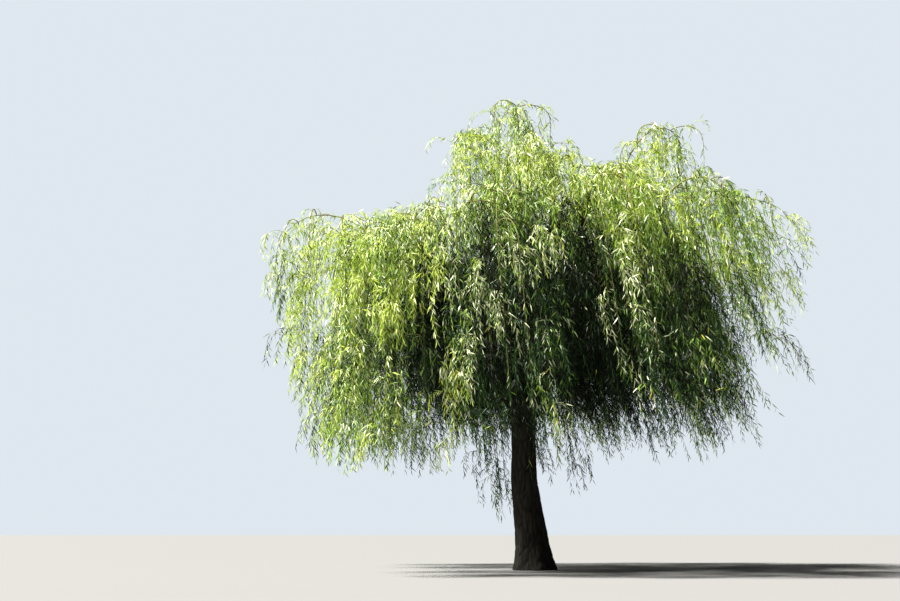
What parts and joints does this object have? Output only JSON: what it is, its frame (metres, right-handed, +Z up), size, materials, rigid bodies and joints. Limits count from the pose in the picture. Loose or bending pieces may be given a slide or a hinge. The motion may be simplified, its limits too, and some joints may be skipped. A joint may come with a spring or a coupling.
{
  "type": "weeping willow tree",
  "caption": "Small weeping willow in full leaf: a short leaning trunk, arching boughs and long curtains of narrow leaves that hang most of the way to the ground.",
  "frame": {"origin": "middle of the flat cut under the trunk, at ground level", "axes": "+Z up the tree, -Y towards the side the picture shows, +X to that view's right, where the wind leans the hanging shoots"},
  "size_m": [7.5287, 6.9899, 6.7434],
  "materials": {
    "trunk_bark": "deeply furrowed dark brown bark, dry and matt",
    "limb_bark": "young olive-brown bark, finely ridged, matt",
    "foliage": "narrow leaves, yellow-green above and silvery grey-green beneath, with a soft sheen"
  },
  "bodies": {
    "root": {"trunk": "trunk_bark", "primary_limb_1": "limb_bark", "primary_limb_2": "limb_bark", "primary_limb_3": "limb_bark", "primary_limb_4": "limb_bark", "central_leader": "limb_bark", "arm_1": "limb_bark", "arm_2": "limb_bark", "arm_3": "limb_bark", "arm_4": "limb_bark", "arm_5": "limb_bark", "arm_6": "limb_bark", "arm_7": "limb_bark", "arm_8": "limb_bark", "arm_9": "limb_bark", "arm_10": "limb_bark", "arm_11": "limb_bark", "arm_12": "limb_bark", "crest_bough_1": "limb_bark", "crest_bough_2": "limb_bark", "crest_bough_3": "limb_bark", "crest_bough_4": "limb_bark", "crest_bough_5": "limb_bark", "crest_bough_6": "limb_bark", "crest_bough_7": "limb_bark", "crest_bough_8": "limb_bark", "crest_bough_9": "limb_bark", "crest_bough_10": "limb_bark", "crest_bough_11": "limb_bark", "curtain_1": "foliage", "curtain_2": "foliage", "curtain_3": "foliage", "curtain_4": "foliage", "curtain_5": "foliage", "curtain_6": "foliage", "curtain_7": "foliage", "curtain_8": "foliage", "curtain_9": "foliage", "curtain_10": "foliage", "curtain_11": "foliage", "curtain_12": "foliage", "inner_1": "foliage", "inner_2": "foliage", "inner_3": "foliage", "inner_4": "foliage", "trunk_sprig_1": "foliage", "trunk_sprig_2": "foliage", "crest_1": "foliage", "crest_2": "foliage", "crest_3": "foliage", "crest_4": "foliage", "crest_5": "foliage", "crest_6": "foliage", "crest_7": "foliage", "crest_8": "foliage", "crest_9": "foliage", "crest_10": "foliage", "crest_11": "foliage"}
  },
  "joints": []
}
